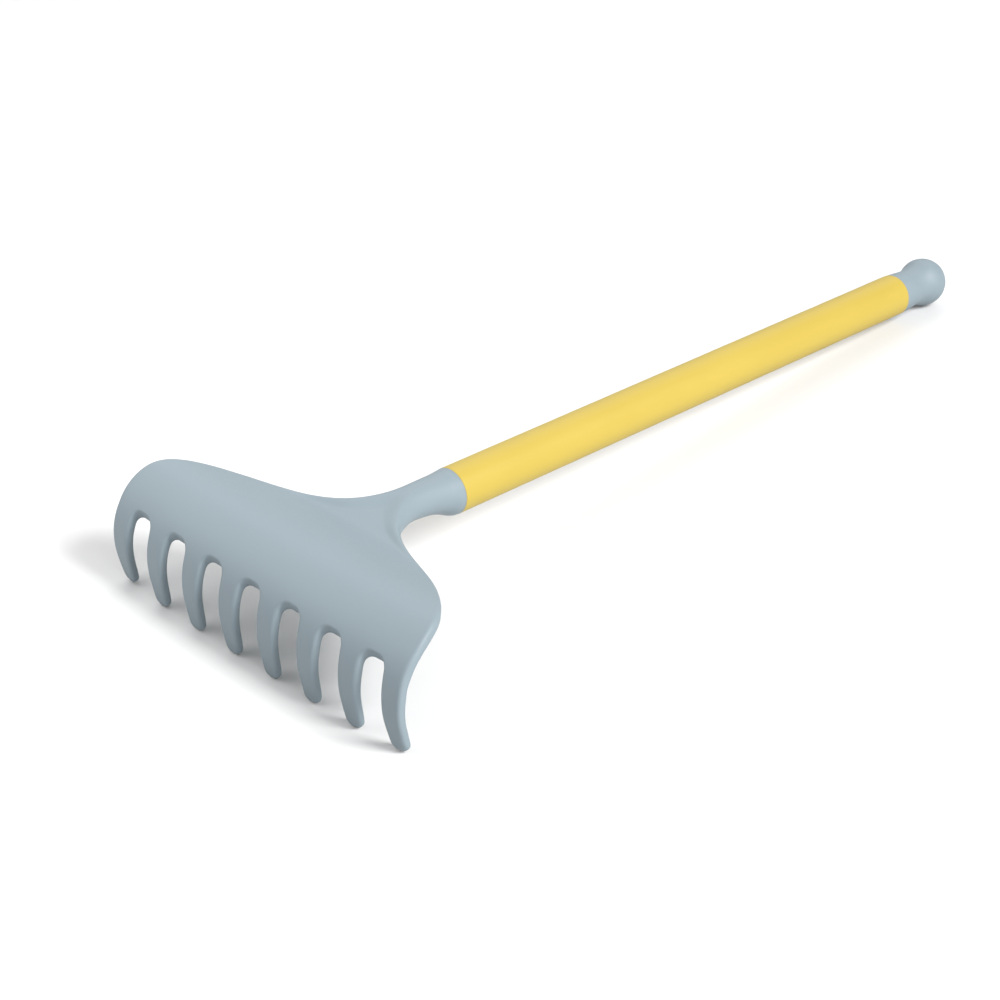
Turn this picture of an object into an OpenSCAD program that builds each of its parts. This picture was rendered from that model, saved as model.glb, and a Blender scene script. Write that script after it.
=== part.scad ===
// A child's sand rake in three pieces. The head is one moulding: a socketed neck that spreads
// into a bowed blade and bends down into eight curved tines. A straight tube is the handle, and
// a ball with a waisted neck closes its far end. The rake lies as it is put down, on the tips of
// its tines and on its ball, with the handle along Y and the ball towards +Y.

/* [Handle] */
// Outer diameter of the handle tube
tube_d = 22; // [20:0.5:24]
// Wall of the handle tube
tube_wall = 2; // [1.5:0.25:3]
// Length of the handle tube, from the head's collar to the ball's neck
tube_l = 334; // [250:1:420]
// Play round each plug inside the tube, on the radius
plug_play = 0.1; // [0.05:0.05:0.3]

/* [Ball] */
// Diameter of the ball
ball_d = 25.6; // [24.5:0.1:30]
// From the ball's centre to the end of the tube
ball_reach = 27.2; // [25:0.1:34]
// How far the neck of the ball stands in from the tube's surface where they meet
neck_step = 0.1; // [0.05:0.05:0.4]
// How much deeper the waist of that neck lies than the tube's surface
waist_depth = 1; // [0.6:0.1:1.8]
// Radius of the hollow curve between the waist and the ball
waist_r = 20; // [14:1:24]
// Length of the ball's plug inside the tube
ball_plug_l = 26; // [16:1:40]
// Wall round the hollow core of both plugs
plug_wall = 2.6; // [2:0.1:3.5]

/* [Collar and neck] */
// Length of the collar that continues the tube
collar_l = 2; // [1:0.5:6]
// Height of the collar's front, at its centre, over the ground
collar_h = 35.8; // [34:0.1:39]
// How far the neck stands in from the collar's rim
collar_lip = 0.2; // [0.1:0.05:0.6]
// Length of the head's plug inside the tube
head_plug_l = 42; // [25:1:60]
// Depth of the plug's hollow core past the end of the tube
core_depth = 3; // [1:0.5:6]

// How far the lip at the neck's foot stands over the hollow of the blade inside it
lip_h = 0.8; // [0.2:0.1:1.2]
// Width of the slope from that lip down into the hollow
lip_w = 7; // [4:0.5:10]

/* [Blade] */
// Width of the blade over its outer tines
blade_w = 184.5; // [165:0.5:205]
// From the collar's front to the foremost line of the blade, along the ground
blade_l = 117; // [100:0.5:130]
// Height of the crown line inside the blade, over the ground
blade_h = 50.9; // [46:0.1:54]
// Thickness of the blade
blade_t = 4.5; // [4:0.1:6]
// How far the blade's ends lie behind its middle
bow = 1.6; // [0:0.1:5]
// How far the blade's ends stand higher than its middle
rise = 1.5; // [0:0.1:4]
// Radius of the edges of the blade and the tines on their upper and front faces
front_r = 2.1; // [1:0.1:2.4]
// Radius of the same edges on the lower and rear faces
back_r = 0.6; // [0.3:0.1:1]

/* [Tines] */
// Number of tines
tine_n = 8; // [6:1:9]
// Width of a tine where it leaves the blade
root_w = 11.5; // [10:0.1:13]
// Width of a tine at its tip
tip_w = 8.1; // [6:0.1:9]
// Thickness of a tine at its tip
tip_t = 3.7; // [3.2:0.1:5]
// Radius of the two corners of a tip
tip_round = 3.6; // [2:0.1:3.9]
// How much farther back the outer tips lie than the bow of the blade puts them
tip_bow = 2.3; // [0:0.1:4]
// Height of the tops of the gaps over the ground
gap_h = 39.3; // [34:0.1:41]
// Radius of the two corners at the top of a gap
gap_round = 5; // [3:0.1:5.5]
// Radius of the front edge along the top of a gap
top_edge_r = 0.5; // [0.3:0.1:1.5]
// How far the gap tops lean from square to the blade, towards upright, in degrees
gap_lean = 35; // [0:1:40]

/* [Hidden] */
head_colour = [0.6, 0.68, 0.71];
tube_colour = [0.95, 0.83, 0.39];
round_fn = 128;

// Neck stations in shares: reach of the blade's length, and rise over the tube's axis, half
// width and half thickness of the tube's radius
neck_shares = [
    [0.018, 0.012, 0.965, 0.97],
    [0.045, 0.108, 0.84, 0.83],
    [0.10, 0.222, 0.76, 0.745],
    [0.17, 0.26, 0.745, 0.704],
    [0.245, 0.286, 0.782, 0.614],
    [0.32, 0.203, 1.088, 0.535],
];
// Stations where the neck spreads into the blade, in shares: reach of the blade's length,
// height of its crown, half width of its half width, half thickness of the tube's radius
spread_shares = [
    [0.405, 0.811, 0.196, 0.427],
    [0.49, 0.808, 0.407, 0.324],
];
// Blade and tine stations in shares: reach, height and half width as above, and how far the
// thickness has gone from the blade's to the tips'
blade_shares = [
    [0.575, 0.891, 0.657, 0],
    [0.66, 0.965, 0.81, 0],
    [0.75, 1.016, 0.939, 0],
    [0.835, 1.004, 0.993, 0],
    [0.93, 0.872, 1.006, 0],
    [0.974, 0.718, 1.001, 0],
    [0.996, 0.549, 1.005, 0],
    [1.002, 0.361, 1, 0.35],
    [0.991, 0.188, 1, 0.65],
    [0.979, -0.0002, 0.99, 1],
];
// The station that the blade's crown lies on, counted from the collar
crown_station = 11;
// Share of the way to the gaps over which the bow and the rise grow to their full size
grow_share = 0.55;
// Shares of that way at which the round edges of the neck start to turn into the crisper edges of
// the blade, and over which they do
crisp_start_share = 0.2;
crisp_grow_share = 0.45;
// Share of the neck's thickness that stays upright at its sides
side_share = 0.03;
// Share of the gap tops' height that the lean of their walls reaches up and down from them, and
// the share of that reach over which it fades out
lean_share = 0.38;
lean_fade_share = 0.7;
// Shares of the blade's length at which the lip starts and ends, and over which it fades
lip_start_share = 0.2;
lip_end_share = 0.44;
lip_fade_share = 0.12;
// Share of the corner radius of a gap's top over which its crisp front edge runs down the sides
top_fade_share = 1.5;
// How far the neck runs back inside the collar
neck_bury = collar_l / 2;

tube_r = tube_d / 2;
bore_r = tube_r - tube_wall;
plug_r = bore_r - plug_play;
core_r = plug_r - plug_wall;
ball_r = ball_d / 2;
collar_reach = ball_reach + tube_l + collar_l;
tilt = asin((collar_h - ball_r) / collar_reach);
neck_r = tube_r - collar_lip;

// Sizes in the mesh of the head: columns across each tine and along each gap's top, and rings
// along each stretch
columns = 5;
top_columns = 2;
neck_rings = 26;
rim_rings = 3;
corner_rings = 4;
tine_rings = 9;
tip_rings = 3;
samples = 320;

function ease(t) = let (c = min(max(t, 0), 1)) c * c * (3 - 2 * c);

// Every station as [reach, height, half width, half thickness]
stations = concat(
    [[0, collar_h, neck_r, neck_r]],
    [for (q = neck_shares)
        [q[0] * blade_l, collar_h + q[0] * blade_l * tan(tilt) + q[1] * tube_r,
         q[2] * tube_r, q[3] * tube_r]],
    [for (q = spread_shares)
        [q[0] * blade_l, q[1] * blade_h, q[2] * blade_w / 2, q[3] * tube_r]],
    [for (q = blade_shares)
        [q[0] * blade_l, q[1] * blade_h, q[2] * blade_w / 2,
         (blade_t + (tip_t - blade_t) * q[3]) / 2]]
);
last = len(stations) - 1;
// The same with one more station past each end, so that the smooth curve starts and ends on them
padded = concat([2 * stations[0] - stations[1]], stations, [2 * stations[last] - stations[last - 1]]);

// Smooth curve through the stations at the parameter u, and its slope
function curve(u) = let (k = min(floor(u), last - 1), f = u - k)
    (pow(1 - f, 3) * padded[k] + (3 * pow(f, 3) - 6 * pow(f, 2) + 4) * padded[k + 1]
     + (3 * f + 3 * pow(f, 2) - 3 * pow(f, 3) + 1) * padded[k + 2] + pow(f, 3) * padded[k + 3]) / 6;
function slope(u) = let (k = min(floor(u), last - 1), f = u - k)
    (pow(f, 2) * padded[k + 3] - pow(1 - f, 2) * padded[k]
     + (3 * pow(f, 2) - 4 * f) * padded[k + 1] + (1 + 2 * f - 3 * pow(f, 2)) * padded[k + 2]) / 2;
function flat(p) = [p[0], p[1]];

// Length along the curve against its parameter
marks = [for (i = [0 : samples]) i / samples * last];
lengths = [for (i = 0, s = 0; i <= samples;
                s = s + norm(flat(curve(marks[min(i + 1, samples)])) - flat(curve(marks[min(i, samples)]))),
                i = i + 1) [s, marks[i]]];
full_s = lengths[samples][0];
// Length at which the curve has come down to the tops of the gaps
gap_s = lookup(-gap_h, [for (p = lengths) if (p[1] > crown_station) [-curve(p[1])[1], p[0]]]);

// Half width of a gap at its top, and between straight sides at the length s
gap_w = curve(lookup(gap_s, lengths))[2];
gap_half = (2 * gap_w - tine_n * root_w) / (tine_n - 1) / 2;
corner_r = min(gap_round, gap_half);
function tine_width(s) = let (t = (s - gap_s - corner_r) / (full_s - gap_s - corner_r))
    root_w + (tip_w - root_w) * min(max(t, 0), 1);
function side_gap(s, w) = (2 * w - tine_n * tine_width(s)) / (tine_n - 1) / 2;
// Half width of the open gap, which its corners narrow. Above the top it is the top's straight
// part, in proportion to the width.
function open_gap(s, w) = let (d = min(s - gap_s, corner_r))
    d <= 0 ? (gap_half - corner_r) * w / gap_w
           : side_gap(s, w) - corner_r + sqrt(2 * corner_r * d - d * d);
// Distance between the middles of two gaps, and the middle of gap j
function pitch(s, w) = s <= gap_s
    ? 2 * (gap_w + gap_half) / tine_n * w / gap_w
    : 2 * (w + side_gap(s, w)) / tine_n;
function middle(j, s, w) = (j - tine_n / 2) * pitch(s, w);

// Distance to a rounded corner from a point that lies p and q past the middle of its circle
function past_corner(p, q) = norm([max(p, 0), max(q, 0)]) + min(max(p, q), 0);
// Distance from a point of the sheet to the nearest gap
function gap_distance(x, s, w) = min([for (j = [1 : tine_n - 1])
    past_corner(abs(x - middle(j, s, w)) - side_gap(s, w) + corner_r, gap_s + corner_r - s) - corner_r]);
// Distance from a point of a tine to its rounded end
function tip_distance(x, s, w) = let (
        half = pitch(s, w) / 2 - side_gap(s, w),
        off = min([for (i = [0 : tine_n - 1]) abs(x - (middle(i, s, w) + middle(i + 1, s, w)) / 2)])
    ) tip_round - past_corner(off - half + tip_round, s - full_s + tip_round);
// Distance from a point of the sheet to the nearest edge
function edge_distance(x, s, w) = max(0, s > full_s - 2 * tip_round
    ? tip_distance(x, s, w)
    : min(w - abs(x), gap_distance(x, s, w)));

// Direction in which the thickness is laid on: the normal, which starts square to the handle and
// leans towards upright at the gap tops
function lay(s, g) = let (
        away = ease(s / tube_r),
        run = away * g / norm(g) + (1 - away) * [cos(tilt), sin(tilt)],
        n = [-run[1], run[0]] / norm(run),
        a = gap_lean * ease((1 - abs(s - gap_s) / (lean_share * gap_h)) / lean_fade_share)
    ) [n[0] * cos(a) - n[1] * sin(a), n[1] * cos(a) + n[0] * sin(a)] / cos(a);

// Share of a tip corner's radius that is left at the length s
function tip_left(s) = let (e = min(max((s - full_s + tip_round) / tip_round, 0), 1))
    sqrt(1 - e * e);

// Radius of the edge of the upper (side 1) or lower (side -1) face: crisp at the tops of the gaps,
// round elsewhere, and as round as the neck is thick towards the collar
function edge_radius(x, s, c, side) = let (
        crisp = ease((s / gap_s - crisp_start_share) / crisp_grow_share),
        round_r = c[3] * (1 - side_share),
        at_gap = gap_distance(x, s, c[2]) < c[2] - abs(x) ? 1 : 0,
        at_top = at_gap * (1 - ease((s - gap_s) / (top_fade_share * corner_r))),
        full_r = side > 0 ? front_r + at_top * (top_edge_r - front_r) : back_r
    ) round_r + crisp * (full_r - round_r);

// How deep the hollow inside the lip is at the distance d from an edge of the radius r
function hollow(s, d, r) = let (share = s / blade_l)
    lip_h * (1 - ease((r + lip_w - d) / lip_w))
    * ease((share - lip_start_share) / lip_fade_share)
    * (1 - ease((share - lip_end_share) / lip_fade_share));

// The point of the upper (side 1) or lower (side -1) face at x across and s along the sheet
function face_point(x, s, c, d, side) = let (
        spread = pow(x / (blade_w / 2), 2) * ease(s / (grow_share * gap_s)),
        down = min(max((s - gap_s) / (full_s - gap_s), 0), 1),
        tip_back = tip_bow * pow(x / (blade_w / 2), 4) * pow(down, 2),
        r = edge_radius(x, s, c, side),
        to_edge = edge_distance(x, s, c[2]),
        k = min(to_edge / r, 1),
        h = side * (c[3] - r + r * sqrt(1 - pow(1 - k, 2))) - (side > 0 ? hollow(s, to_edge, r) : 0)
    ) [x,
       bow * spread + tip_back - c[0] - h * d[0],
       c[1] + rise * spread * pow(min(c[1] / gap_h, 1), 2) + h * d[1]];

// Where column q of tine i lies across the sheet
function column_x(i, q, s, w) = let (
        g = open_gap(s, w),
        low = i == 0 ? -w : middle(i, s, w) + g,
        high = i == tine_n - 1 ? w : middle(i + 1, s, w) - g,
        half = (high - low) / 2 - tip_round * (1 - tip_left(s))
    ) q <= columns
        ? (low + high) / 2 - half * cos(180 * q / columns)
        : high + 2 * g * (q - columns) / top_columns;

// A closed ring over tines a to b at the length s: the upper face from low x to high x, then the
// lower face back again. Between two tines it crosses the top of a gap in columns of its own.
cell = columns + top_columns;
function ring(a, b, s) = let (
        u = lookup(s, lengths),
        c = curve(u),
        d = lay(s, flat(slope(u))),
        n = (b - a) * cell + columns,
        xs = [for (m = [0 : n]) let (i = floor(m / cell))
            column_x(a + i, m - i * cell, s, c[2])]
    ) concat([for (m = [0 : n]) face_point(xs[m], s, c, d, 1)],
             [for (m = [n : -1 : 0]) face_point(xs[m], s, c, d, -1)]);

// Lengths of the rings over the whole sheet, after the one inside the collar, and of those down
// each tine
rim_s = gap_s - front_r;
sheet_at = concat(
    [for (i = [1 : neck_rings]) rim_s * i / neck_rings],
    [for (i = [1 : rim_rings]) rim_s + (gap_s - rim_s) * sin(90 * i / rim_rings)]
);
tine_at = concat(
    [for (i = [1 : corner_rings]) gap_s + corner_r * (1 - cos(90 * i / corner_rings))],
    [for (i = [1 : tine_rings])
        gap_s + corner_r + (full_s - tip_round - gap_s - corner_r) * i / tine_rings],
    [for (i = [1 : tip_rings]) full_s - tip_round * (1 - sin(90 * i / tip_rings))]
);
sheet_n = len(sheet_at) + 1;
sheet_m = 2 * (tine_n * cell - top_columns + 1);
tine_m = 2 * columns + 2;

first_ring = ring(0, tine_n - 1, 0);
axis_back = [0, neck_bury * cos(tilt), -neck_bury * sin(tilt)];
head_points = concat(
    [for (p = first_ring) p + axis_back],
    [for (s = sheet_at) each ring(0, tine_n - 1, s)],
    [for (i = [0 : tine_n - 1]) for (s = tine_at) each ring(i, i, s)]
);

// Index of point m of ring r of the sheet
function sheet_id(r, m) = r * sheet_m + m % sheet_m;
// Index of point m of ring r of tine i, where ring 0 is the sheet's last
function tine_id(i, r, m) = let (q = m % tine_m)
    r == 0
        ? sheet_id(sheet_n - 1, q <= columns ? i * cell + q : sheet_m - (i * cell + tine_m - q))
        : sheet_n * sheet_m + (i * len(tine_at) + r - 1) * tine_m + q;

head_faces = concat(
    [[for (m = [sheet_m - 1 : -1 : 0]) sheet_id(0, m)]],
    [for (r = [0 : sheet_n - 2]) for (m = [0 : sheet_m - 1])
        let (p = sheet_id(r, m), q = sheet_id(r, m + 1),
             v = sheet_id(r + 1, m), w = sheet_id(r + 1, m + 1))
        each [[p, w, v], [p, q, w]]],
    [for (i = [0 : tine_n - 1]) for (r = [0 : len(tine_at) - 1]) for (m = [0 : tine_m - 1])
        let (p = tine_id(i, r, m), q = tine_id(i, r, m + 1),
             v = tine_id(i, r + 1, m), w = tine_id(i, r + 1, m + 1))
        each [[p, w, v], [p, q, w]]],
    [for (i = [0 : tine_n - 2]) for (k = [columns : cell - 1])
        let (m = i * cell + k,
             p = sheet_id(sheet_n - 1, m), q = sheet_id(sheet_n - 1, m + 1),
             v = sheet_id(sheet_n - 1, sheet_m - 1 - m), w = sheet_id(sheet_n - 1, sheet_m - 2 - m))
        each [[p, w, v], [p, q, w]]],
    [for (i = [0 : tine_n - 1]) [for (m = [0 : tine_m - 1]) tine_id(i, len(tine_at), m)]]
);

// The ball's centre along Y, which puts the middle of the whole rake over the origin
front_y = -collar_reach * cos(tilt) + min([for (p = head_points) p[1]]);
ball_y = -(ball_r + front_y) / 2;

// Puts a child that is built along +Z from the ball's centre on the handle's axis
module on_handle() {
    translate([0, ball_y, ball_r])
        rotate([90 - tilt, 0, 0])
            children();
}

module rake_head() {
    color(head_colour)
        difference() {
            union() {
                translate([0, ball_y - collar_reach * cos(tilt), 0])
                    polyhedron(points = head_points, faces = head_faces, convexity = 10);
                on_handle() {
                    translate([0, 0, ball_reach + tube_l])
                        cylinder(r = tube_r, h = collar_l, $fn = round_fn);
                    translate([0, 0, ball_reach + tube_l - head_plug_l])
                        cylinder(r = plug_r, h = head_plug_l + neck_bury / 2, $fn = round_fn);
                }
            }
            on_handle()
                translate([0, 0, ball_reach + tube_l - 2 * head_plug_l])
                    cylinder(r = core_r, h = 2 * head_plug_l + core_depth, $fn = round_fn);
        }
}

module handle_tube() {
    color(tube_colour)
        on_handle()
            translate([0, 0, ball_reach])
                difference() {
                    cylinder(r = tube_r, h = tube_l, $fn = round_fn);
                    translate([0, 0, -tube_wall])
                        cylinder(r = bore_r, h = tube_l + 2 * tube_wall, $fn = round_fn);
                }
}

// Neck of the ball: a cone that runs into a hollow curve, which runs on into the ball
module ball_neck() {
    waist = tube_r - waist_depth;
    curve_r = waist + waist_r;
    curve_z = sqrt(pow(ball_r + waist_r, 2) - pow(curve_r, 2));
    share = ball_r / (ball_r + waist_r);
    end_r = tube_r - neck_step;
    apart = norm([end_r - curve_r, ball_reach - curve_z]);
    touch = atan2(end_r - curve_r, ball_reach - curve_z) - acos(waist_r / apart);
    rotate_extrude($fn = round_fn)
        difference() {
            polygon([
                [0, share * curve_z],
                [share * curve_r, share * curve_z],
                [curve_r, curve_z],
                [curve_r + waist_r * sin(touch), curve_z + waist_r * cos(touch)],
                [end_r, ball_reach],
                [0, ball_reach],
            ]);
            translate([curve_r, curve_z])
                circle(r = waist_r, $fn = round_fn);
        }
}

module end_knob() {
    color(head_colour)
        on_handle()
            difference() {
                union() {
                    sphere(r = ball_r, $fn = round_fn);
                    ball_neck();
                    translate([0, 0, ball_reach - waist_depth])
                        cylinder(r = plug_r, h = ball_plug_l + waist_depth, $fn = round_fn);
                }
                translate([0, 0, ball_reach])
                    cylinder(r = core_r, h = 2 * ball_plug_l, $fn = round_fn);
            }
}

rake_head();
handle_tube();
end_knob();
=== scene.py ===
# %% [markdown]
# # A child's sand rake
#
# This lesson dresses a small sand rake in Blender. The real rake has three pieces: a moulded
# head, a straight tube for a handle and a ball that closes the handle's far end. The packed
# model gives their places and sizes. Here each one gets the soft, rounded surface that a
# moulded toy has, and a plastic that scatters light as the real one does.

import math

import bmesh
import bpy
import numpy as np
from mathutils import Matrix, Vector


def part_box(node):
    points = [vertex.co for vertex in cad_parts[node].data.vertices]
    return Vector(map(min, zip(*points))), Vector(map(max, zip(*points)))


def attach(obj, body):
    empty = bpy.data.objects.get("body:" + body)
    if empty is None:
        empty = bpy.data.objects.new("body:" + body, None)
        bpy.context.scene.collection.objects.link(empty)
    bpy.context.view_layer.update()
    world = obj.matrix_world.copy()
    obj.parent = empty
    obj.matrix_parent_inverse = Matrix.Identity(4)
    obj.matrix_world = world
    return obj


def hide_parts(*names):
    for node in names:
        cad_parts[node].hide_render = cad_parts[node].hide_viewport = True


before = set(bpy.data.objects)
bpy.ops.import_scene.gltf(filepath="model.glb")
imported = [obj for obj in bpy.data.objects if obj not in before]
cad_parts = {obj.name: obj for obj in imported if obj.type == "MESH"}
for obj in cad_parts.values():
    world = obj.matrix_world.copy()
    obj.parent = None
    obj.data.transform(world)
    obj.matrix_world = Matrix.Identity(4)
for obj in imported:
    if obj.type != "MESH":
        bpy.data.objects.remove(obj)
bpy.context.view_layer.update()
print("frame nodes:", sorted(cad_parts))

# %% [markdown]
# ## Sizes
#
# A maker works from a drawing, and this is the drawing in numbers. All lengths are in
# millimetres until a mesh is made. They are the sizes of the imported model, so that each surface
# lies in the space that its solid holds. Only what shows from close by differs: the underside of
# the neck's foot by up to two millimetres, the tips of the tines by less than one, and there are
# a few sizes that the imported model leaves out, such as the tiny rounding on each cut edge.

# %% Sizes of the handle, the ball and the head
MM = 0.001

# The tube, the plugs inside it and the rounding of every cut edge
TUBE_R = 11.0
TUBE_WALL = 2.0
TUBE_L = 334.0
PLUG_PLAY = 0.1
PLUG_WALL = 2.6
EDGE_R = 0.3

# The ball, how far its neck reaches, and the hollow curve of the waist
BALL_R = 12.8
BALL_REACH = 27.2
BALL_PLUG_L = 26.0
NECK_STEP = 0.1
WAIST_DEPTH = 1.0
WAIST_R = 20.0

# The head's collar, its height over the floor, and the plug
COLLAR_L = 2.0
COLLAR_H = 35.8
COLLAR_LIP = 0.2
HEAD_PLUG_L = 42.0
CORE_DEPTH = 3.0

# The blade, and how far its ends bow back and rise
BLADE_W = 184.5
BLADE_L = 117.0
BLADE_H = 50.9
BLADE_T = 4.5
BOW = 1.6
RISE = 1.5

# The tines, and how far the outer tips bow back and rise
TINE_N = 8
ROOT_W = 11.5
TIP_W = 8.4
TIP_T = 3.7
TIP_BOW = 2.3
TIP_RISE = 0.7

# The gaps: height of their tops, radius of their corners, lean of the wall above them
GAP_H = 39.3
GAP_ROUND = 5.0
GAP_LEAN = math.radians(35)

# Edges of the blade and of the tines, front and rear, and a tine's round end
FRONT_R = 2.1
BACK_R = 0.6
TOP_EDGE_R = 0.5
TINE_FRONT_R = 1.5
TINE_BACK_R = 1.2
TIP_EDGE_R = 1.8
TIP_ROUND = 3.6
TIP_FADE = 2 * TIP_ROUND

# The lip at the neck's foot: depth of the hollow inside it, width, least room for the hollow
LIP_H = 1.3
LIP_W = 9.0
LIP_LEAST = 0.1

BORE_R = TUBE_R - TUBE_WALL
PLUG_R = BORE_R - PLUG_PLAY
CORE_R = PLUG_R - PLUG_WALL
COLLAR_REACH = BALL_REACH + TUBE_L + COLLAR_L
TILT = math.asin((COLLAR_H - BALL_R) / COLLAR_REACH)
BALL_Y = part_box("end_knob")[1].y / MM - BALL_R
print("handle leans", round(math.degrees(TILT), 2), "degrees, ball at y", round(BALL_Y, 2), "mm")

# %% [markdown]
# ## From arrays to meshes
#
# Every surface below is worked out as whole arrays: one array holds all the points, one holds
# all the four-cornered faces. This helper hands both to Blender. Points that fall together, as
# at a pole, are merged first, and only then are the faces turned outwards, because a closed
# surface is needed to tell inside from outside.


# %% Turn arrays of points and faces into a closed, smooth piece
def make_piece(name, points_mm, quads, weld_mm=0.0005):
    """Mesh object with its place in its points: points in metres = points in mm times 0.001."""
    mesh = bpy.data.meshes.new(name)
    points = (points_mm * MM).reshape(-1, 3).tolist()
    faces = [tuple(dict.fromkeys(quad)) for quad in quads.tolist()]
    mesh.from_pydata(points, [], [face for face in faces if len(face) > 2])
    shell = bmesh.new()
    shell.from_mesh(mesh)
    bmesh.ops.remove_doubles(shell, verts=shell.verts, dist=weld_mm * MM)
    bmesh.ops.recalc_face_normals(shell, faces=shell.faces)
    open_edges = sum(not edge.is_manifold for edge in shell.edges)
    volume = shell.calc_volume() / MM**3 / 1000
    triangles = sum(len(face.verts) - 2 for face in shell.faces)
    shell.to_mesh(mesh)
    shell.free()
    mesh.shade_smooth()
    piece = bpy.data.objects.new(name, mesh)
    bpy.context.scene.collection.objects.link(piece)
    print(name, "open edges", open_edges, "triangles", triangles, "volume cm3", round(volume, 2))
    return piece


def numbers(points):
    """The number of each point of a grid, in the grid's own rows and columns."""
    return np.arange(points[..., 0].size).reshape(points.shape[:-1])


def ring_quads(ids):
    """Faces between neighbouring rings: ids is rings by points, each ring closed on itself."""
    after = np.roll(ids, -1, axis=1)
    corners = [ids[:-1], after[:-1], after[1:], ids[1:]]
    return np.stack(corners, axis=-1).reshape(-1, 4)


def strip_quads(upper, lower):
    """Faces of strips between two edges that run the same way: each is strips by points."""
    corners = [upper[:, :-1], upper[:, 1:], lower[:, 1:], lower[:, :-1]]
    return np.stack(corners, axis=-1).reshape(-1, 4)


def ease(t):
    """Smooth step from 0 to 1: 3 t squared less 2 t cubed, with t held between 0 and 1."""
    held = np.clip(t, 0, 1)
    return held * held * (3 - 2 * held)


# %% [markdown]
# ## Round pieces on the handle's axis
#
# The tube and the ball are round bodies on one slanting axis. Each is a profile, a list of
# distances along the axis with a radius at each, turned about that axis. On a lathe it would be
# the same: one outline gives the whole body. A corner of the profile gets a short arc instead
# of a point, because no moulded or cut edge is perfectly sharp, and that arc catches the light.


# %% Turn a profile about the handle's axis
AXIS = np.array([0.0, -math.cos(TILT), math.sin(TILT)])
UP = np.array([0.0, math.sin(TILT), math.cos(TILT)])
SIDE = np.array([1.0, 0.0, 0.0])
BALL_CENTRE = np.array([0.0, BALL_Y, BALL_R])


def corner_arc(corner, before, after, radius, steps=6):
    """Arc that rounds a right-angled corner of a profile: from one side's unit direction to the
    other's, point = corner + radius (before (1 - sin a) + after (1 - cos a))."""
    a = np.linspace(0, math.pi / 2, steps + 1)[:, None]
    start = np.asarray(before, float) * (1 - np.sin(a))
    end = np.asarray(after, float) * (1 - np.cos(a))
    return np.asarray(corner, float) + radius * (start + end)


def turned(profile, sides):
    """Points at distance z along the axis and radius r, turned through angle t:
    centre + z axis + r (cos t side + sin t up)."""
    t = np.linspace(0, 2 * math.pi, sides, endpoint=False)
    round_part = np.cos(t)[:, None] * SIDE + np.sin(t)[:, None] * UP
    z, r = profile[:, 0], profile[:, 1]
    return BALL_CENTRE + z[:, None, None] * AXIS + r[:, None, None] * round_part


print("handle's axis", AXIS.round(4).tolist(), "from the ball at", BALL_CENTRE.round(2).tolist())

# %% [markdown]
# ## The handle tube
#
# The real handle is a length of plastic tube, cut off square at both ends. The plugs of the
# head and of the ball sit inside it. Its profile is a closed loop: out along the outer wall,
# round the cut end, back along the bore and round the other end. The cut edges are barely
# rounded, and this makes the fine dark line where the tube meets its neighbours.

# %% Profile of the tube, from the ball's end to the head's
TUBE_RINGS = 60
TUBE_SIDES = 192

near, far = BALL_REACH, BALL_REACH + TUBE_L
along = np.linspace(near + 2 * EDGE_R, far - 2 * EDGE_R, TUBE_RINGS)
tube_profile = np.vstack([
    corner_arc((near, TUBE_R), (0, -1), (1, 0), EDGE_R),
    np.stack([along, np.full_like(along, TUBE_R)], axis=-1),
    corner_arc((far, TUBE_R), (-1, 0), (0, -1), EDGE_R),
    corner_arc((far, BORE_R), (0, 1), (-1, 0), EDGE_R),
    corner_arc((near, BORE_R), (1, 0), (0, 1), EDGE_R),
])
tube_points = turned(tube_profile, TUBE_SIDES)
tube_ids = numbers(tube_points)
tube_ids = np.vstack([tube_ids, tube_ids[:1]])
handle = make_piece("handle_sleeve", tube_points, ring_quads(tube_ids))

# %% [markdown]
# ## The ball and its neck
#
# The ball is one moulding with a waisted neck and a plug. Its outline is a half circle that runs
# into a hollow curve, which runs on into a short cone that ends almost flush with the tube. The
# hollow curve touches the ball and the cone without a kink, so its centre is found from the
# waist: it stands as far from the axis as the waist and the curve's own radius together.

# %% Profile of the ball, its neck and its plug
BALL_RINGS = 72
HOLLOW_RINGS = 40
KNOB_SIDES = 160

waist = TUBE_R - WAIST_DEPTH
curve_r = waist + WAIST_R
curve_z = math.sqrt((BALL_R + WAIST_R) ** 2 - curve_r**2)
neck_end_r = TUBE_R - NECK_STEP
apart = math.hypot(neck_end_r - curve_r, BALL_REACH - curve_z)
touch = math.atan2(neck_end_r - curve_r, BALL_REACH - curve_z) - math.acos(WAIST_R / apart)
meet = math.atan2(curve_r, curve_z)

ball_angle = np.linspace(math.pi, meet, BALL_RINGS)
ball_arc = BALL_R * np.stack([np.cos(ball_angle), np.sin(ball_angle)], axis=-1)
hollow_angle = np.linspace(meet - math.pi, touch, HOLLOW_RINGS)[1:]
hollow_arc = np.array([curve_z, curve_r]) + WAIST_R * np.stack(
    [np.cos(hollow_angle), np.sin(hollow_angle)], axis=-1)
plug_end = BALL_REACH + BALL_PLUG_L
knob_profile = np.vstack([
    ball_arc,
    hollow_arc,
    corner_arc((BALL_REACH, neck_end_r), (-1, 0), (0, -1), EDGE_R),
    [(BALL_REACH, PLUG_R)],
    corner_arc((plug_end, PLUG_R), (-1, 0), (0, -1), EDGE_R),
    [(plug_end, CORE_R), (BALL_REACH, CORE_R), (BALL_REACH, 0)],
])
knob_points = turned(knob_profile, KNOB_SIDES)
knob = make_piece("ball_knob", knob_points, ring_quads(numbers(knob_points)))

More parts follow.
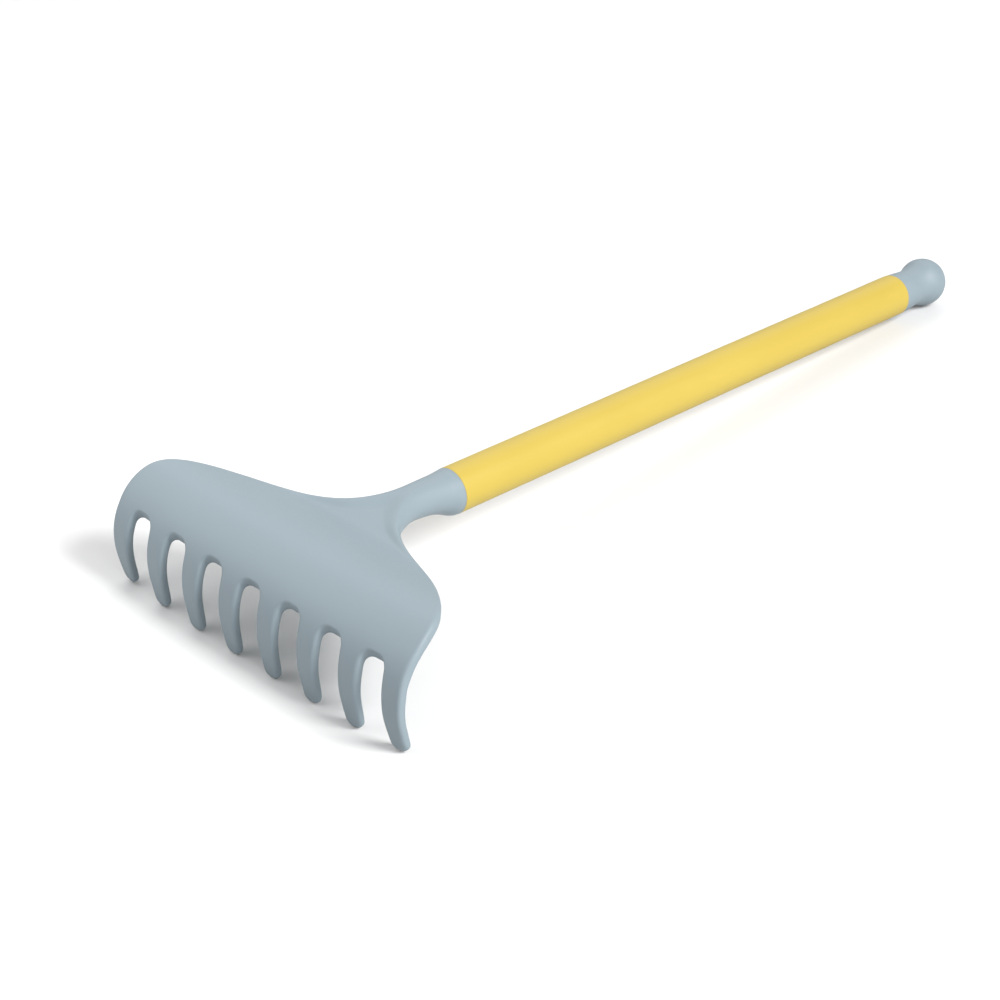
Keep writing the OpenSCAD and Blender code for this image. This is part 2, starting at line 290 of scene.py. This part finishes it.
# %% [markdown]
# ## The line that the head follows
#
# Seen from the side, the head is one flowing line: out of the collar, over the top of the neck,
# through a shallow dip, up to the crown of the blade and down into the tines. Nineteen stations
# give its reach, its height, its half width and its half thickness, and a smooth curve follows
# them. A uniform cubic B-spline is a good choice here: it passes close by each station rather
# than through it, so it never wiggles between two of them, just as a bent steel rule doesn't.

# %% Stations of the head, as shares of its sizes
# Reach as a share of the blade's; height above the handle's axis, half width and half thickness
# as shares of the handle's radius
NECK_SHARES = np.array([
    [0.018, 0.012, 0.965, 0.97],
    [0.045, 0.118, 0.87, 0.84],
    [0.10, 0.225, 0.79, 0.748],
    [0.17, 0.26, 0.745, 0.704],
    [0.245, 0.286, 0.782, 0.614],
    [0.32, 0.283, 1.12, 0.44],
])
# Reach, height and half width as shares of the blade's; half thickness as before
SPREAD_SHARES = np.array([
    [0.405, 0.834, 0.198, 0.315],
    [0.49, 0.82, 0.407, 0.27],
])
# As before, but the last column goes from the blade's thickness, 0, to that of the tips, 1
BLADE_SHARES = np.array([
    [0.575, 0.891, 0.657, 0],
    [0.66, 0.965, 0.81, 0],
    [0.75, 1.016, 0.939, 0],
    [0.835, 1.004, 0.993, 0],
    [0.93, 0.872, 1.006, 0],
    [0.974, 0.718, 1.001, 0],
    [0.996, 0.549, 1.005, 0],
    [1.002, 0.361, 1, 0.35],
    [0.991, 0.188, 1, 0.65],
    [0.979, 0.0006, 0.998, 1],
])
CROWN_STATION = 11

neck_r = TUBE_R - COLLAR_LIP
neck_stations = NECK_SHARES * [BLADE_L, TUBE_R, TUBE_R, TUBE_R]
neck_stations[:, 1] += COLLAR_H + NECK_SHARES[:, 0] * BLADE_L * math.tan(TILT)
spread_stations = SPREAD_SHARES * [BLADE_L, BLADE_H, BLADE_W / 2, TUBE_R]
blade_stations = BLADE_SHARES * [BLADE_L, BLADE_H, BLADE_W / 2, (TIP_T - BLADE_T) / 2]
blade_stations[:, 3] += BLADE_T / 2
first_station = [0, COLLAR_H, neck_r, neck_r]
stations = np.vstack([first_station, neck_stations, spread_stations, blade_stations])
padded = np.vstack([2 * stations[0] - stations[1], stations, 2 * stations[-1] - stations[-2]])
print("stations of the head:", len(stations))


# %% Smooth curve along the stations, and its length
def curve_along(points, u):
    """Uniform cubic B-spline. With f the share of the way from one station to the next, the
    weights are (1 - f) cubed, 3 f cubed - 6 f squared + 4, 1 + 3 f + 3 f squared - 3 f cubed
    and f cubed, all over 6."""
    k = np.minimum(u.astype(int), len(points) - 4)
    f = u - k
    second = 3 * f**3 - 6 * f**2 + 4
    third = 1 + 3 * f + 3 * f**2 - 3 * f**3
    weights = np.stack([(1 - f) ** 3, second, third, f**3])
    return np.einsum("wn,wnd->nd", weights / 6, points[k + np.arange(4)[:, None]])


FINE_STEPS = 6000

u_fine = np.linspace(0, len(stations) - 1, FINE_STEPS + 1)
line = curve_along(padded, u_fine)
pieces_of_line = np.hypot(*np.diff(line[:, :2], axis=0).T)
length_at = np.concatenate([[0], np.cumsum(pieces_of_line)])
direction = np.gradient(line[:, :2], length_at, axis=0)
full_s = length_at[-1]
past_crown = u_fine > CROWN_STATION
gap_s = np.interp(-GAP_H, -line[past_crown, 1], length_at[past_crown])
print("length of the head's line", round(full_s, 1), "mm, gaps start at", round(gap_s, 1), "mm")


def on_line(s, columns):
    """Values of the line at the lengths s, read off the fine table."""
    return np.stack([np.interp(s, length_at, column) for column in columns.T], axis=-1)


# %% [markdown]
# ## Where the gaps between the tines run
#
# Seven gaps cut the blade's front into eight tines. A gap starts with a short straight top
# between two round corners and then widens downwards, because the tines taper. At each length
# along the head's line, one function gives the half width of a gap and another the distance to
# the nearest edge. Everything across the head follows from these two.

# %% Widths of the tines and the gaps along the line
gap_w = float(on_line(np.array([gap_s]), line[:, 2:3])[0, 0])
gap_half = (2 * gap_w - TINE_N * ROOT_W) / (TINE_N - 1) / 2
print("width of a gap at its top", round(2 * gap_half, 2), "mm")


def side_gap(s, w):
    """Half width of a gap between straight sides: what the tines leave of the width 2 w, over
    the number of gaps, over 2. A tine's width runs evenly from root to tip."""
    share = np.clip((s - gap_s - GAP_ROUND) / (full_s - gap_s - GAP_ROUND), 0, 1)
    return (2 * w - TINE_N * (ROOT_W + (TIP_W - ROOT_W) * share)) / (TINE_N - 1) / 2


def open_gap(s, w):
    """Half width of the open gap: at its round corners, with d the distance from the top and R
    the corners' radius, the half width between the sides less R plus the square root of
    2 R d - d squared. Above the top it is the straight part, in proportion to the width."""
    d = np.clip(s - gap_s, 0, GAP_ROUND)
    below = side_gap(s, w) - GAP_ROUND + np.sqrt(2 * GAP_ROUND * d - d * d)
    return np.where(s <= gap_s, (gap_half - GAP_ROUND) * w / gap_w, below)


def pitch(s, w):
    """Distance between the middles of two gaps, which shrinks with the width above them."""
    above = 2 * (gap_w + gap_half) / TINE_N * w / gap_w
    return np.where(s <= gap_s, above, 2 * (w + side_gap(s, w)) / TINE_N)


print("pitch of the tines at their roots", round(float(pitch(gap_s, gap_w)), 2), "mm")


# %% Distances to the edges
def edge_distance(x, s, w):
    """Least distance to an edge, and whether a gap's edge is the nearest. To the outline it is
    w - |x|. To a gap, with p and q how far a point lies past the middles of the corner circles,
    outwards and upwards, it is the distance to a corner circle where both are positive, and
    else the larger of the two less the corner's radius."""
    x, s, w = x[..., None], s[..., None], w[..., None]
    off_middle = np.abs(x - (np.arange(1, TINE_N) - TINE_N / 2) * pitch(s, w))
    p = off_middle - side_gap(s, w) + GAP_ROUND
    q = gap_s + GAP_ROUND - s
    past = np.hypot(np.maximum(p, 0), np.maximum(q, 0))
    to_gap = (past + np.minimum(np.maximum(p, q), 0) - GAP_ROUND).min(axis=-1)
    to_outline = w[..., 0] - np.abs(x[..., 0])
    return np.maximum(np.minimum(to_outline, to_gap), 0), to_gap < to_outline


def tip_distance(x, s, w):
    """Least distance to the rounded end of a tine. With p and q how far a point lies past the
    middles of the corner circles, across and along, and both held to 0 or more: circle radius
    less the length of (p, q), or less the larger of the two where both are negative."""
    x, s, w = x[..., None], s[..., None], w[..., None]
    middles = (np.arange(TINE_N) + 0.5 - TINE_N / 2) * pitch(s, w)
    p = np.abs(x - middles).min(axis=-1) - (pitch(s, w) / 2 - side_gap(s, w))[..., 0] + TIP_ROUND
    q = s[..., 0] - full_s + TIP_ROUND
    past = np.hypot(np.maximum(p, 0), np.maximum(q, 0))
    return np.maximum(TIP_ROUND - past - np.minimum(np.maximum(p, q), 0), 0)


def tip_left(s):
    """Share of a corner circle's radius left at the length s: square root of 1 - e squared."""
    e = np.clip((s - full_s + TIP_ROUND) / TIP_ROUND, 0, 1)
    return np.sqrt(1 - e * e)


half_way_s = np.array([gap_s / 2])
half_way_w = on_line(half_way_s, line[:, 2:3])[:, 0]
half_way_edge = edge_distance(np.zeros(1), half_way_s, half_way_w)[0].item()
print("half way to the gaps the middle is", round(half_way_edge, 1), "mm from an edge")

# %% [markdown]
# ## The skin of the head
#
# The head is a bent sheet with a thickness that is laid on along its normal, above and below.
# Towards every edge the thickness dies away as a quarter circle does: a wide one on the front
# edge, which is soft, and a small one on the rear edge, where the two halves of the mould met.
# Down the tines the two become nearly alike, and at the tips both are wide. At the collar the
# sheet is as thick as it is wide, and the same rule gives a round neck. Where the neck spreads
# into the blade, a low lip runs along the edge and a shallow hollow lies inside it. At the tops
# of the gaps the edges are crisp and the thickness leans towards upright, because the mould
# opens upwards there, and this leaves the dark wall that shows above each gap.

# %% Direction of the thickness
# The lean is full at the gaps' tops. It ends at the first share of the gaps' height from there,
# and the second says how much of that way it takes to die away
LEAN_SHARE = 0.38
LEAN_FADE_SHARE = 0.7


def lay_direction(s):
    """Direction of the thickness: the line's normal, which starts square to the handle, turned
    by the lean and divided by its cosine, so that the sheet keeps its thickness."""
    run = on_line(s, direction)
    run /= np.linalg.norm(run, axis=-1, keepdims=True)
    away = ease(s / TUBE_R)[:, None]
    run = away * run + (1 - away) * [math.cos(TILT), math.sin(TILT)]
    run /= np.linalg.norm(run, axis=-1, keepdims=True)
    a = GAP_LEAN * ease((1 - np.abs(s - gap_s) / (LEAN_SHARE * GAP_H)) / LEAN_FADE_SHARE)
    back, up = -run[:, 1], run[:, 0]
    return np.stack([back - up * np.tan(a), up + back * np.tan(a)], axis=-1)


lean = lay_direction(np.array([gap_s]))[0].round(2).tolist()
print("1 mm of thickness at the gaps' tops lies", lean[0], "mm back and", lean[1], "mm up")


# %% Radius of the edges and depth of the hollow
# Depth below a gap's top, over the corner's radius, from which the tines' edge radii hold
TOP_FADE_SHARE = 1.5
# Where the neck starts to turn into a sheet, and how long it takes, over the length to the gaps
CRISP_START_SHARE = 0.2
CRISP_GROW_SHARE = 0.45
# Where the hollow starts and ends, and how long it takes to fade, over the blade's reach
LIP_START_SHARE = 0.2
LIP_END_SHARE = 0.44
LIP_FADE_SHARE = 0.12


def edge_radius(s, thick, at_gap, side):
    """Radius of the rounding along an edge. It starts as the half thickness, which makes the neck
    round, and goes over to the sheet's own: that of the blade's front or rear edge, then that of
    the tines, then that of the tips, each change eased. A front edge is crisp at a gap's top."""
    on_tine = ease((s - gap_s) / (TOP_FADE_SHARE * GAP_ROUND))
    if side > 0:
        sheet_r = FRONT_R + on_tine * (TINE_FRONT_R - FRONT_R)
        sheet_r = sheet_r + at_gap * (1 - on_tine) * (TOP_EDGE_R - FRONT_R)
    else:
        sheet_r = BACK_R + on_tine * (TINE_BACK_R - BACK_R)
    at_tip = ease((s - full_s + TIP_FADE) / TIP_FADE)
    sheet_r = sheet_r + at_tip * (TIP_EDGE_R - sheet_r)
    crisp = ease((s / gap_s - CRISP_START_SHARE) / CRISP_GROW_SHARE)
    return thick + crisp * (sheet_r - thick)


def hollow_depth(s, w, to_edge, edge_r):
    """Depth of the hollow inside the lip: its full depth, times the room for it over the lip's
    width, times an eased share that grows from the rounded edge inwards, times one that fades in
    and out along the head. The room is the lip's width, or what a narrow neck leaves of it."""
    room = np.clip(w - edge_r, LIP_LEAST, LIP_W)
    inside = 1 - ease((edge_r + room - to_edge) / room)
    share = s / BLADE_L
    by_neck = ease((share - LIP_START_SHARE) / LIP_FADE_SHARE)
    by_neck = by_neck * (1 - ease((share - LIP_END_SHARE) / LIP_FADE_SHARE))
    return LIP_H * room / LIP_W * inside * by_neck


print("hollow runs from", round(LIP_START_SHARE * BLADE_L, 1), "mm along the head's line to",
      round((LIP_END_SHARE + LIP_FADE_SHARE) * BLADE_L, 1), "mm")

# %% Points of the upper and the lower skin
# Where bow and rise are in full, over the length to the gaps
GROW_SHARE = 0.55


def skin(x, s, side):
    """Point at x across and s along, on the upper side, 1, or the lower, -1. It is the line's
    point, plus the thickness h along its direction, plus a bow back and a rise. With T the half
    thickness, R the edge's radius and k the distance to the edge over R, but at most 1,
    h = T - R + R square root of (1 - (1 - k) squared). Bow and rise grow with x squared, the rise
    only near the crown's height, and down the tines both also grow with x to the fourth power."""
    reach, height, w, thick = (column[:, None] for column in on_line(s, line).T)
    lay = lay_direction(s)
    s = s[:, None]
    s_all, w_all = np.broadcast_to(s, x.shape), np.broadcast_to(w, x.shape)
    to_edge, at_gap = edge_distance(x, s_all, w_all)
    to_edge = np.where(s > full_s - TIP_FADE, tip_distance(x, s_all, w_all), to_edge)
    edge_r = edge_radius(s, thick, at_gap, side)
    k = np.minimum(to_edge / edge_r, 1)
    h = side * (thick - edge_r + edge_r * np.sqrt(1 - (1 - k) ** 2))
    if side > 0:
        h = h - hollow_depth(s, w, to_edge, edge_r)
    spread = (x / (BLADE_W / 2)) ** 2 * ease(s / (GROW_SHARE * gap_s))
    down = np.clip((s - gap_s) / (full_s - gap_s), 0, 1)
    outer = (x / (BLADE_W / 2)) ** 4 * down**2
    y = BOW * spread + TIP_BOW * outer - reach - h * lay[:, :1]
    rise = RISE * spread * np.minimum(height / BLADE_H, 1) ** 4 + TIP_RISE * outer
    z = height + rise + h * lay[:, 1:]
    return np.stack([x, y + BALL_Y - COLLAR_REACH * math.cos(TILT), z], axis=-1)


middle_x = np.zeros((1, 1))
wall = skin(middle_x, half_way_s, 1) - skin(middle_x, half_way_s, -1)
print("blade is", round(float(np.linalg.norm(wall)), 2), "mm thick half way to the gaps")

# %% [markdown]
# ## Rings round the sheet and round each tine
#
# The skin is covered with closed rings. Above the gaps one ring runs round the whole sheet, and
# below them one ring runs round each tine. The points of a ring crowd together towards the
# tines' edges, where the rounding needs them, by taking them at even steps of an angle. Over the
# straight top of each gap a few points more keep the sheet's faces even. The first rings stay on
# the axis of the handle: they make the core, the plug and the collar.

# %% Rings of the sheet and of the tines
COLUMNS = 18
TOP_COLUMNS = 6
CORNER_RINGS = 14
SHEET_RINGS = 130
TINE_RINGS = 36


def across(s):
    """x of every column of every tine: middle - half width times cos(180 degrees q / columns),
    as lengths by tines by columns + 1."""
    w = on_line(s, line[:, 2:3])
    i = np.arange(TINE_N)
    s_column = s[:, None]
    low = (i - TINE_N / 2) * pitch(s_column, w) + open_gap(s_column, w)
    high = (i + 1 - TINE_N / 2) * pitch(s_column, w) - open_gap(s_column, w)
    low[:, :1], high[:, -1:] = -w, w
    half = ((high - low) / 2 - TIP_ROUND * (1 - tip_left(s_column)))[..., None]
    return ((low + high) / 2)[..., None] - half * np.cos(np.linspace(0, math.pi, COLUMNS + 1))


def rings(x, s):
    """Closed rings: the upper skin from low x to high x, then the lower skin back."""
    return np.concatenate([skin(x, s, 1), skin(x, s, -1)[:, ::-1]], axis=1)


corner_turn = np.linspace(0, math.pi / 2, CORNER_RINGS + 1)[1:]
rim_s = gap_s - FRONT_R
sheet_s = np.concatenate([
    np.linspace(0, rim_s, SHEET_RINGS),
    rim_s + (gap_s - rim_s) * np.sin(corner_turn),
])
tine_s = np.concatenate([
    gap_s + GAP_ROUND * (1 - np.cos(corner_turn)),
    np.linspace(gap_s + GAP_ROUND, full_s - TIP_ROUND, TINE_RINGS)[1:],
    full_s - TIP_ROUND * (1 - np.sin(corner_turn)),
])
tine_part = across(sheet_s)
top_share = np.arange(1, TOP_COLUMNS) / TOP_COLUMNS
top_start, top_end = tine_part[:, :-1, -1:], tine_part[:, 1:, :1]
top_part = top_start + (top_end - top_start) * top_share
whole_cells = np.concatenate([tine_part[:, :-1], top_part], axis=2).reshape(len(sheet_s), -1)
sheet_x = np.concatenate([whole_cells, tine_part[:, -1]], axis=1)
sheet_rings = rings(sheet_x, sheet_s)
tine_x = across(tine_s)
tine_rings = np.stack([rings(tine_x[:, i], tine_s) for i in range(TINE_N)])
print("rings round the sheet", sheet_rings.shape[:2], "and round the tines", tine_rings.shape[:3])

# %% Rings of the core, the plug and the collar
COLLAR_RINGS = 6
COLLAR_FIRST_SHARE = 0.3

tube_end = BALL_REACH + TUBE_L
plug_start = tube_end - HEAD_PLUG_L
core_end = tube_end + CORE_DEPTH
collar_share = np.linspace(COLLAR_FIRST_SHARE, 1, COLLAR_RINGS)
socket_profile = np.vstack([
    [(core_end, 0), (core_end, CORE_R), (plug_start, CORE_R)],
    corner_arc((plug_start, PLUG_R), (0, -1), (1, 0), EDGE_R),
    [(tube_end, PLUG_R)],
    corner_arc((tube_end, TUBE_R), (0, -1), (1, 0), EDGE_R),
    np.stack([
        tube_end + COLLAR_L * collar_share,
        TUBE_R - COLLAR_LIP * ease(collar_share),
    ], axis=-1),
])
ring_share = np.concatenate([sheet_x[0], sheet_x[0, ::-1]]) / neck_r
half_turn = np.repeat([1, -1], sheet_x.shape[1])
ring_up = half_turn * np.sqrt(np.maximum(1 - ring_share**2, 0))
ring_round = ring_share[:, None] * SIDE + ring_up[:, None] * UP
z, r = socket_profile[:, 0, None, None], socket_profile[:, 1, None, None]
socket_rings = BALL_CENTRE + z * AXIS + r * ring_round
print("rings of core, plug and collar", socket_rings.shape[:2])

# %% [markdown]
# ## Joining the rings
#
# Neighbouring rings are joined by four-cornered faces. Where a gap starts, the ring round the
# sheet hands over to eight small rings, and a short wall between the upper and the lower skin
# closes the straight top of each gap. Each tine ends in a row of faces across its tip.

# %% Faces of the head
core_rings = np.concatenate([socket_rings, sheet_rings])
ring_size = core_rings.shape[1]
core_ids = numbers(core_rings)
tine_ids = core_ids.size + numbers(tine_rings)
upper_start = np.arange(TINE_N)[:, None] * (COLUMNS + TOP_COLUMNS) + np.arange(COLUMNS + 1)
lower_start = ring_size - 1 - upper_start[:, ::-1]
first_tine_ring = core_ids[-1][np.concatenate([upper_start, lower_start], axis=1)]
tine_ids = np.concatenate([first_tine_ring[:, None], tine_ids], axis=1)

upper_top = upper_start[:-1, -1:] + np.arange(TOP_COLUMNS + 1)
tip = tine_ids[:, -1]
head_quads = np.vstack([
    ring_quads(core_ids),
    *[ring_quads(ids) for ids in tine_ids],
    strip_quads(core_ids[-1][upper_top], core_ids[-1][ring_size - 1 - upper_top]),
    strip_quads(tip[:, :COLUMNS + 1], tip[:, :COLUMNS:-1]),
])
head_points = np.concatenate([core_rings.reshape(-1, 3), tine_rings.reshape(-1, 3)])
print("points of the head", len(head_points), "faces", len(head_quads))

# %% Make the head
head = make_piece("moulded_head", head_points, head_quads)

# %% [markdown]
# ## Shader arithmetic
#
# A procedural material is a small calculation that runs at every point of a surface. Written as
# nodes it is hard to read, so this class wraps a socket and lets Python's own signs stand for
# the Math nodes: the sum of two wires adds an Add node, and so on. One method makes any other
# node from its type, its settings and what its sockets get.


# %% A wire that can be calculated with
class Wire:
    """An output socket of a material's node tree, with arithmetic."""

    def __init__(self, tree, socket=None):
        self.tree = tree
        self.socket = socket

    def node(self, kind, settings=(), sockets=(), output=0):
        """Makes a node, gives it its settings, then the values or wires of its sockets."""
        made = self.tree.nodes.new(kind)
        for name, value in dict(settings).items():
            setattr(made, name, value)
        for key, value in dict(sockets).items():
            if isinstance(value, Wire):
                self.tree.links.new(value.socket, made.inputs[key])
            else:
                made.inputs[key].default_value = value
        return Wire(self.tree, made.outputs[output] if len(made.outputs) else None)

    def math(self, operation, first, second):
        return self.node("ShaderNodeMath", {"operation": operation}, {0: first, 1: second})

    def __add__(self, other):
        return self.math("ADD", self, other)

    def __sub__(self, other):
        return self.math("SUBTRACT", self, other)

    def __rsub__(self, other):
        return self.math("SUBTRACT", other, self)

    def __mul__(self, other):
        return self.math("MULTIPLY", self, other)

    __radd__ = __add__
    __rmul__ = __mul__

    def between(self, first, second):
        """Colour that goes from the first to the second as this wire goes from 0 to 1."""
        sockets = {0: self, 6: (*first, 1), 7: (*second, 1)}
        return self.node("ShaderNodeMix", {"data_type": "RGBA"}, sockets, 2)


def noise(wire, place, waves, detail):
    """Soft random field from 0 to 1, with so many waves to the metre. Detail adds finer waves."""
    sockets = {"Vector": place, "Scale": waves, "Detail": detail}
    return wire.node("ShaderNodeTexNoise", (), sockets, "Fac")


# %% [markdown]
# ## Moulded plastic and drawn plastic
#
# Both plastics are matte. Light spreads on them softly because the mould's wall was blasted
# with fine grit, which leaves a grain of about a third of a millimetre. Pigment is never mixed
# in quite evenly, so the colour wanders by a hair over a few centimetres, and by less over a
# millimetre or two. On the tube the grain is drawn out along the handle, because the tube was
# pulled through a die. A Mapping node turns that pattern until its long way lies along the
# handle.


# %% The plastics
# Waves to the metre of the clouds, the flecks and the grain, and what each of them does
CLOUD_WAVES = 22.0
FLECK_WAVES = 650.0
GRAIN_WAVES = 2600.0
CLOUD_COLOUR = 0.75
FLECK_COLOUR = 0.25
CLOUD_ROUGHNESS = 0.1
FLECK_ROUGHNESS = 0.14
GRAIN_STRENGTH = 0.35
GRAIN_DEPTH = 0.05 * MM
PLASTIC_IOR = 1.49

GREY_BLUE_DEEP = (0.151, 0.190, 0.214)
GREY_BLUE_LIGHT = (0.173, 0.216, 0.241)
YELLOW_DEEP = (0.348, 0.254, 0.035)
YELLOW_LIGHT = (0.381, 0.284, 0.046)


def plastic(name, deep, light, roughness_level, shine, stretch=1.0):
    """Matte plastic: colour between deep and light by slow noise, roughness round its level by
    finer noise, and a bump from the grain. Stretch above 1 draws the grain along the handle."""
    material = bpy.data.materials.new(name)
    material.use_nodes = True
    tree = material.node_tree
    shader = next(n for n in tree.nodes if n.type == "BSDF_PRINCIPLED")
    wire = Wire(tree)
    place = wire.node("ShaderNodeTexCoord", output="Object")
    turned_place = wire.node(
        "ShaderNodeMapping", {"vector_type": "TEXTURE"},
        {"Vector": place, "Rotation": (-TILT, 0, 0), "Scale": (1, stretch, 1)})
    cloud = noise(wire, place, CLOUD_WAVES, detail=3.0)
    fleck = noise(wire, turned_place, FLECK_WAVES, detail=2.0)
    grain = noise(wire, turned_place, GRAIN_WAVES, detail=1.0)
    mixing = cloud * CLOUD_COLOUR + fleck * FLECK_COLOUR
    colour = mixing.between(deep, light)
    flecked = roughness_level + (fleck - 0.5) * FLECK_ROUGHNESS
    roughness = flecked + (cloud - 0.5) * CLOUD_ROUGHNESS
    bump = wire.node(
        "ShaderNodeBump", (),
        {"Strength": GRAIN_STRENGTH, "Distance": GRAIN_DEPTH, "Height": grain}, "Normal")
    tree.links.new(colour.socket, shader.inputs["Base Color"])
    tree.links.new(roughness.socket, shader.inputs["Roughness"])
    tree.links.new(bump.socket, shader.inputs["Normal"])
    shader.inputs["IOR"].default_value = PLASTIC_IOR
    shader.inputs["Specular IOR Level"].default_value = shine
    print(name, "nodes", len(tree.nodes))
    return material


grey_blue = plastic(
    "grey_blue_moulding", GREY_BLUE_DEEP, GREY_BLUE_LIGHT, roughness_level=0.56, shine=0.47)
yellow = plastic(
    "yellow_drawn_tube", YELLOW_DEEP, YELLOW_LIGHT, roughness_level=0.52, shine=0.42, stretch=14.0)

# %% Give each piece its plastic, its body and the node that it stands for
dressing = [
    (head, grey_blue, "rake_head", "grey_blue_plastic"),
    (handle, yellow, "handle_tube", "yellow_plastic"),
    (knob, grey_blue, "end_knob", "grey_blue_plastic"),
]
for piece, material, node, slot in dressing:
    piece.data.materials.append(material)
    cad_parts[node].data.materials.clear()
    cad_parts[node].data.materials.append(material)
    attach(piece, "root")
    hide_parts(node)
    print(piece.name, "stands for", node)

# %% [markdown]
# ## The studio
#
# The toy lies on a pale floor under soft light. One lamp stands to the rake's right and high up,
# and one stands there low down. They brighten the right-hand rims of the tines and throw their
# shadow to the left. Two broad lamps to the left and behind, two small ones close by at the
# front left and a little light from all round fill the rest, so no shadow is deep.

# %% Floor and sky
FLOOR_SIDE = 12
FLOOR_GREY = 0.6
FLOOR_ROUGHNESS = 0.9
FLOOR_SHINE = 0.1
SKY_STRENGTH = 0.36

bpy.ops.mesh.primitive_plane_add(size=FLOOR_SIDE)
floor = bpy.context.object
floor.name = "studio_floor"
floor_paint = bpy.data.materials.new("floor_paint")
floor_paint.use_nodes = True
paint = floor_paint.node_tree.nodes["Principled BSDF"]
paint.inputs["Base Color"].default_value = (FLOOR_GREY, FLOOR_GREY, FLOOR_GREY, 1)
paint.inputs["Roughness"].default_value = FLOOR_ROUGHNESS
paint.inputs["Specular IOR Level"].default_value = FLOOR_SHINE
floor.data.materials.append(floor_paint)

sky = bpy.data.worlds.new("sky")
sky.use_nodes = True
glow = sky.node_tree.nodes["Background"]
glow.inputs["Color"].default_value = (1, 1, 1, 1)
glow.inputs["Strength"].default_value = SKY_STRENGTH
bpy.context.scene.world = sky
print("floor", FLOOR_SIDE, "m square, sky strength", SKY_STRENGTH)

# %% Lamps
# Name, azimuth and elevation in degrees, distance and size in metres, power in watts
LAMPS = [
    ("key_lamp", 98, 45, 2.4, 0.9, 83),
    ("low_lamp", 75, 15, 2.4, 1.1, 33),
    ("left_fill", 270, 30, 2.4, 2.4, 24),
    ("back_fill", 220, 40, 2.4, 2.4, 26),
    ("low_front_fill", 330, 20, 0.8, 0.5, 1.6),
    ("high_front_fill", 315, 50, 0.8, 0.5, 1.5),
]


def soft_lamp(name, azimuth, elevation, distance, size, power):
    """Soft box on a sphere round the floor's middle, turned to face it: azimuth 0 is in front of
    the tines and 90 to their right."""
    a, e = math.radians(azimuth), math.radians(elevation)
    away = Vector((math.sin(a) * math.cos(e), -math.cos(a) * math.cos(e), math.sin(e)))
    data = bpy.data.lights.new(name, "AREA")
    data.size = size
    data.energy = power
    lamp = bpy.data.objects.new(name, data)
    lamp.location = away * distance
    lamp.rotation_mode = "QUATERNION"
    lamp.rotation_quaternion = away.to_track_quat("Z", "Y")
    lamp.visible_camera = False
    bpy.context.scene.collection.objects.link(lamp)


for lamp_row in LAMPS:
    soft_lamp(*lamp_row)
bpy.context.scene.view_settings.view_transform = "Standard"
print("lamps", [row[0] for row in LAMPS])

# %% [markdown]
# ## The camera
#
# The photograph was taken from the front right and a third of the way up, through a long lens.
# The direction, the distance and the lens were found by matching the straight handle, the row
# of tine tips and the ball.

# %% Camera
CAMERA_AZIMUTH = math.radians(44.62)
CAMERA_ELEVATION = math.radians(31.67)
CAMERA_DISTANCE = 1104.32
LOOK_AT = Vector((-19.20, -309.02 + BALL_Y, 0.0))
FOCAL_PIXELS = 2327.04
PICTURE_PIXELS = 1000
SENSOR_W = 36

camera_data = bpy.data.cameras.new("camera")
camera_data.sensor_width = SENSOR_W
camera_data.lens = FOCAL_PIXELS / PICTURE_PIXELS * SENSOR_W
camera = bpy.data.objects.new("camera", camera_data)
back = Vector((
    math.sin(CAMERA_AZIMUTH) * math.cos(CAMERA_ELEVATION),
    -math.cos(CAMERA_AZIMUTH) * math.cos(CAMERA_ELEVATION),
    math.sin(CAMERA_ELEVATION),
))
camera.location = (LOOK_AT + back * CAMERA_DISTANCE) * MM
camera.rotation_mode = "QUATERNION"
camera.rotation_quaternion = back.to_track_quat("Z", "Y")
bpy.context.scene.collection.objects.link(camera)
bpy.context.scene.camera = camera
print("camera at", [round(c, 4) for c in camera.location], "lens", round(camera_data.lens, 2), "mm")
